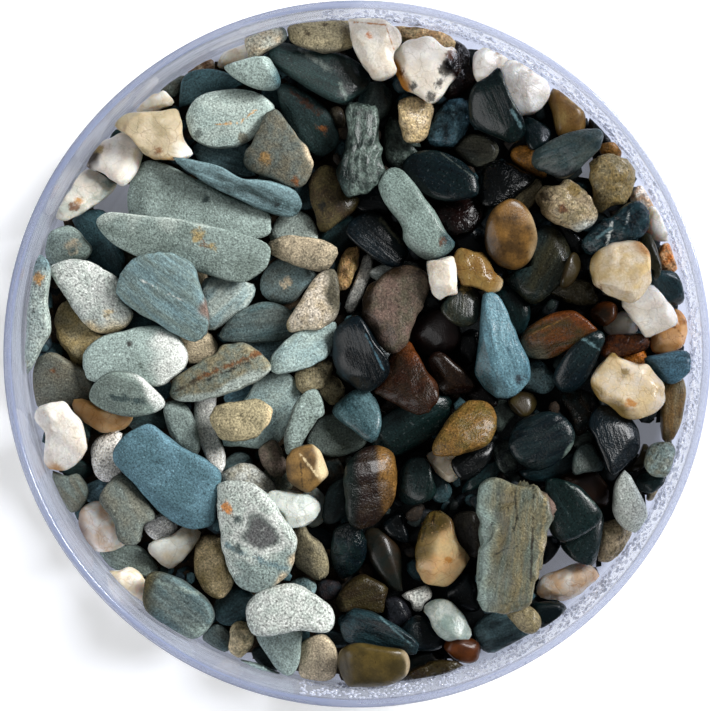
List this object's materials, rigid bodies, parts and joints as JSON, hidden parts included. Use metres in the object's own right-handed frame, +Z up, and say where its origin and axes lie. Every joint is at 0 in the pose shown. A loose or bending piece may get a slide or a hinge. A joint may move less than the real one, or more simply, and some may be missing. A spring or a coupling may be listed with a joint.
{
  "type": "river gravel in a clear round dish",
  "caption": "Loose river gravel, water-worn pebbles, slate flakes and quartz chips, heaped in layers in a clear, shallow, round dish.",
  "frame": {"origin": "centre of the dish's flat underside", "axes": "+Z up out of the dish; +Y towards the top of the picture and +X to its right"},
  "size_m": [0.09, 0.09, 0.015],
  "materials": {
    "clear_plastic": "clear moulded plastic with a faint lavender cast",
    "white_quartz": "white quartz, rough broken faces, faintly translucent",
    "cream_quartzite": "cream quartzite, fine sugary grain",
    "ochre_stone": "iron-stained ochre stone, worn smooth",
    "tan_stone": "tan sandstone, fine matt grain",
    "brown_stone": "brown layered stone, worn smooth",
    "red_brown_stone": "red-brown stone, smooth and wet",
    "olive_stone": "olive stone, worn smooth",
    "grey_stone": "grey schist, fine matt grain",
    "pale_grey_stone": "pale grey speckled granite-like stone",
    "green_grey_stone": "green-grey slate, fine matt grain",
    "blue_grey_stone": "blue-grey slate, worn smooth",
    "teal_stone": "dark teal slate, worn smooth",
    "dark_slate": "near-black slate, wet",
    "navy_slate": "navy-black slate, wet",
    "mixed_gravel": "mixed small river stones, mostly grey and teal slate"
  },
  "bodies": {
    "root": {"dish": "clear_plastic", "gravel_bed": "mixed_gravel", "long_green_grey": "green_grey_stone", "rust_edged_quartz": "white_quartz", "streaked_navy_lump": "navy_slate", "dark_green_oval": "teal_stone", "navy_blade": "navy_slate", "white_quartz_chip": "white_quartz", "dark_green_slab": "dark_slate", "ochre_stained_quartz": "white_quartz", "pale_blue_oval": "blue_grey_stone", "dark_rounded_triangle": "dark_slate", "long_grey_flat": "grey_stone", "brown_stained_quartz": "white_quartz", "beige_quartz_block": "cream_quartzite", "pale_green_oval": "green_grey_stone", "cream_quartz_lump": "cream_quartzite", "pitted_olive_oval": "olive_stone", "speckled_olive_oval": "olive_stone", "dark_green_triangle": "dark_slate", "long_dark_pebble": "dark_slate", "dark_grey_oval": "dark_slate", "ribbed_teal_bark": "teal_stone", "dark_disc": "dark_slate", "rust_layered_slab": "brown_stone", "red_brown_pebble": "red_brown_stone", "brown_ridged_pebble": "brown_stone", "speckled_cream_triangle": "cream_quartzite", "large_blue_grey": "blue_grey_stone", "pale_grey_oval": "pale_grey_stone", "large_green_oval": "green_grey_stone", "speckled_half_moon": "pale_grey_stone", "pitted_band_slab": "grey_stone", "tall_brown_olive": "tan_stone", "golden_quartz": "ochre_stone", "large_olive_oval": "olive_stone", "speckled_wall_stone": "grey_stone", "white_ochre_quartz": "white_quartz", "pale_speckled_pebble": "pale_grey_stone", "speckled_grey_wedge": "grey_stone", "glittering_tan_quartzite": "cream_quartzite", "brown_egg": "tan_stone", "blue_teardrop": "blue_grey_stone", "sandy_golden_pebble": "tan_stone", "two_tone_blade": "blue_grey_stone", "teal_tipped_teardrop": "pale_grey_stone", "granular_brown_triangle": "tan_stone", "blue_grey_triangle": "blue_grey_stone", "banded_grey_wedge": "grey_stone", "tan_oval": "cream_quartzite", "banded_eye_stone": "pale_grey_stone", "orange_layered_pebble": "ochre_stone", "black_blue_pebble": "navy_slate", "white_quartz_cube": "white_quartz", "tan_lump": "ochre_stone", "pale_teal_bean": "green_grey_stone", "ochre_cream_pebble": "cream_quartzite", "dark_blue_oval": "navy_slate", "cream_lumpy_quartz": "cream_quartzite", "layered_tan_slab": "tan_stone"}
  },
  "joints": []
}
